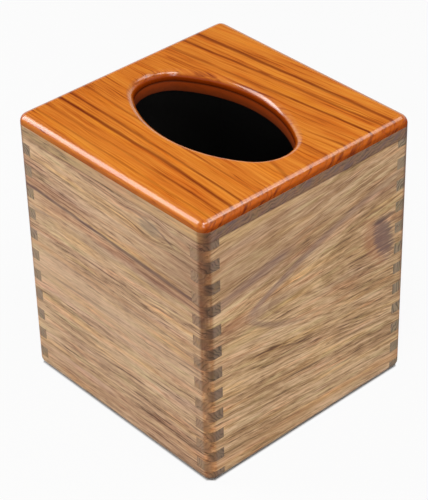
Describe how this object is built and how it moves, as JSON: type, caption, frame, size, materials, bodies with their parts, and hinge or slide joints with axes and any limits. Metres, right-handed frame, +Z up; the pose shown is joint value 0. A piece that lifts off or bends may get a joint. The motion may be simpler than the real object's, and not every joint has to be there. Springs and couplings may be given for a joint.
{
  "type": "tissue box cover",
  "caption": "Cube tissue box cover of finger-jointed wood, with an oval opening in its stained lid and a bottom panel that slides out.",
  "frame": {"origin": "centre of the base, on the surface that the box stands on", "axes": "+Z up; -Y is the front wall; +X is the right wall, opposite the side where the bottom panel pulls out; the long axis of the oval and the grain of the lid run along X"},
  "size_m": [0.13, 0.13, 0.1465],
  "materials": {
    "wall_wood": "pale brown wood under clear satin lacquer",
    "lid_wood": "pale brown wood under clear satin lacquer, black on its underside",
    "stained_wood": "orange-brown stain under clear lacquer",
    "panel_wood": "matt black stain"
  },
  "bodies": {
    "box": {"front_wall": "wall_wood", "back_wall": "wall_wood", "left_wall": "wall_wood", "right_wall": "wall_wood", "lid_board": "lid_wood", "lid_cap": "stained_wood"},
    "panel": {"bottom_panel": "panel_wood"}
  },
  "joints": [
    {"name": "panel_slide", "type": "slide", "parent": "box", "child": "panel", "axis": [-1, 0, 0], "range_m": [0, 0.12]}
  ]
}
